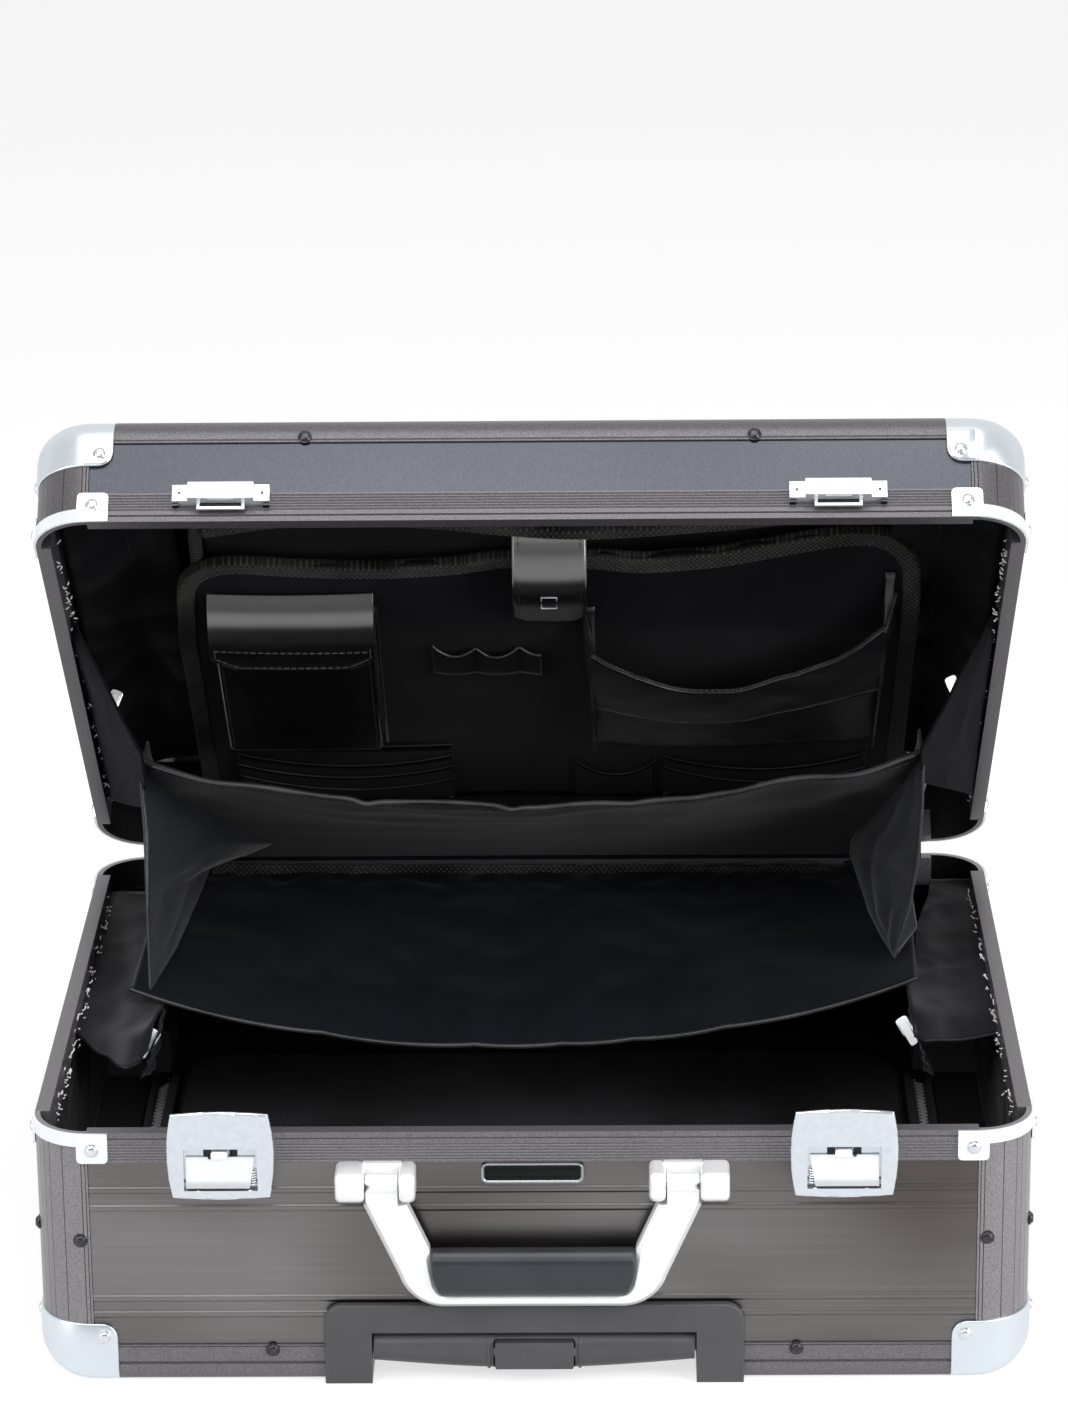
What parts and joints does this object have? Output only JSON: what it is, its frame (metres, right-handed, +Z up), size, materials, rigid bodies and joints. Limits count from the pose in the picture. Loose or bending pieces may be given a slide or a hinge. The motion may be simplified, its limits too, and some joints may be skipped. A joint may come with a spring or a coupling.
{
  "type": "rolling briefcase",
  "caption": "Hard metal briefcase with rounded riveted corners, open lid organiser, hanging cloth pocket, carrying handle, spring latches, pull-out trolley handle and wheels.",
  "frame": {"origin": "middle of the bottom panel's outer face, which the case lies on", "axes": "+X across the width, towards the latch on the viewer's right; -Y towards the carrying handle; +Z up, away from the bottom panel"},
  "size_m": [0.475, 0.4189, 0.4284],
  "materials": {
    "profile_grey": "satin anodised",
    "panel_grey": "satin anodised",
    "satin_silver": "satin",
    "polished_metal": "polished",
    "steel": "brushed",
    "dark_rivet": "satin",
    "charcoal_plastic": "fine texture",
    "black_rubber": "satin",
    "wheel_rubber": "matte",
    "lining_cloth": "matte weave",
    "pocket_cloth": "ribbed weave",
    "leatherette": "semi-gloss grain",
    "zip_black": "satin"
  },
  "bodies": {
    "base": {"base_front_panel": "panel_grey", "base_wall_panels": "panel_grey", "base_bottom_panel": "panel_grey", "base_edge_rails": "profile_grey", "base_corner_columns": "profile_grey", "base_ball_corners": "satin_silver", "base_rim_brackets": "satin_silver", "base_rivets": "satin_silver", "base_wall_lining": "lining_cloth", "base_floor_panel": "lining_cloth", "trolley_bezel": "charcoal_plastic", "trolley_outer_tubes": "steel", "trolley_tube_mounts": "charcoal_plastic", "wheel_housings": "charcoal_plastic", "stand_feet": "black_rubber", "hinge_base_leaves": "polished_metal", "pivot_pins": "steel", "latch_frames": "polished_metal", "bail_brackets": "satin_silver", "name_plate": "satin_silver", "bellows_lower_leaf": "pocket_cloth", "bellows_gussets": "pocket_cloth", "base_side_flaps": "pocket_cloth", "base_zip_chains": "zip_black"},
    "lid": {"lid_top_panel": "panel_grey", "lid_wall_panels": "panel_grey", "lid_edge_rails": "profile_grey", "lid_corner_columns": "profile_grey", "lid_ball_corners": "satin_silver", "lid_rim_brackets": "satin_silver", "lid_rivets": "satin_silver", "lid_wall_lining": "lining_cloth", "hinge_lid_leaves": "polished_metal", "latch_keepers": "polished_metal", "lid_side_flaps": "pocket_cloth", "organiser_panel": "pocket_cloth", "organiser_strap": "leatherette", "phone_pocket": "leatherette", "document_pocket": "leatherette", "card_slots": "leatherette"},
    "divider_upper": {"bellows_upper_leaf": "pocket_cloth"},
    "phone_cover": {"phone_flap": "leatherette"},
    "left_flap": {"left_latch_flap": "satin_silver"},
    "right_flap": {"right_latch_flap": "satin_silver"},
    "left_hook": {"left_latch_hook": "polished_metal"},
    "right_hook": {"right_latch_hook": "polished_metal"},
    "bail": {"bail_frame": "polished_metal", "bail_grip": "black_rubber"},
    "trolley_middle": {"trolley_middle_tubes": "steel"},
    "trolley_inner": {"trolley_inner_tubes": "steel", "trolley_grip": "charcoal_plastic", "button_springs": "steel"},
    "release": {"release_button": "charcoal_plastic", "release_rods": "steel"},
    "left_roller": {"left_wheel": "wheel_rubber"},
    "right_roller": {"right_wheel": "wheel_rubber"},
    "left_slider": {"left_zip_slider": "polished_metal"},
    "right_slider": {"right_zip_slider": "polished_metal"}
  },
  "joints": [
    {"name": "lid_hinge", "type": "hinge", "parent": "base", "child": "lid", "pos_m": [0, 0.1893, 0.1284], "axis": [-1, 0, 0], "range_deg": [-45.4, 0], "deforming": ["bellows_gussets", "lid_side_flaps"]},
    {"name": "divider_fold", "type": "hinge", "parent": "base", "child": "divider_upper", "pos_m": [0, 0.1725, 0.132], "axis": [-1, 0, 0], "range_deg": [-37, 0]},
    {"name": "phone_flap_hinge", "type": "hinge", "parent": "lid", "child": "phone_cover", "pos_m": [0, 0.03592, 0.31955], "axis": [-1, 0, 0], "range_deg": [0, 90]},
    {"name": "left_flap_hinge", "type": "hinge", "parent": "base", "child": "left_flap", "pos_m": [-0.1453, -0.1892, 0.105], "axis": [1, 0, 0], "range_deg": [0, 38], "stiffness_Nm_per_rad": 0.02, "springref_deg": -11.46},
    {"name": "right_flap_hinge", "type": "hinge", "parent": "base", "child": "right_flap", "pos_m": [0.1453, -0.1892, 0.105], "axis": [1, 0, 0], "range_deg": [0, 38], "stiffness_Nm_per_rad": 0.02, "springref_deg": -11.46},
    {"name": "left_hook_pivot", "type": "hinge", "parent": "base", "child": "left_hook", "pos_m": [-0.1453, -0.1865, 0.11], "axis": [-1, 0, 0], "range_deg": [0, 5], "stiffness_Nm_per_rad": 0.01, "springref_deg": -5.73},
    {"name": "right_hook_pivot", "type": "hinge", "parent": "base", "child": "right_hook", "pos_m": [0.1453, -0.1865, 0.11], "axis": [-1, 0, 0], "range_deg": [0, 5], "stiffness_Nm_per_rad": 0.01, "springref_deg": -5.73},
    {"name": "bail_pivot", "type": "hinge", "parent": "base", "child": "bail", "pos_m": [0, -0.191, 0.106], "axis": [-1, 0, 0], "range_deg": [0, 95]},
    {"name": "trolley_middle_slide", "type": "slide", "parent": "base", "child": "trolley_middle", "axis": [0, -1, 0], "range_m": [0, 0.25]},
    {"name": "trolley_inner_slide", "type": "slide", "parent": "trolley_middle", "child": "trolley_inner", "axis": [0, -1, 0], "range_m": [0, 0.25]},
    {"name": "release_slide", "type": "slide", "parent": "trolley_inner", "child": "release", "axis": [0, 1, 0], "range_m": [0, 0.0025], "stiffness_N_per_m": 900, "springref_m": -0.003, "deforming": ["button_springs"]},
    {"name": "left_wheel_spin", "type": "hinge", "parent": "base", "child": "left_roller", "pos_m": [-0.2122, 0.1755, 0.025], "axis": [1, 0, 0], "continuous": true},
    {"name": "right_wheel_spin", "type": "hinge", "parent": "base", "child": "right_roller", "pos_m": [0.2122, 0.1755, 0.025], "axis": [1, 0, 0], "continuous": true},
    {"name": "left_zip_run", "type": "slide", "parent": "base", "child": "left_slider", "axis": [0, -1, 0], "range_m": [0, 0.09]},
    {"name": "right_zip_run", "type": "slide", "parent": "base", "child": "right_slider", "axis": [0, -1, 0], "range_m": [0, 0.09]}
  ],
  "couplings": [
    {"joint": "divider_fold", "follows": "lid_hinge", "ratio": 0.815}
  ]
}
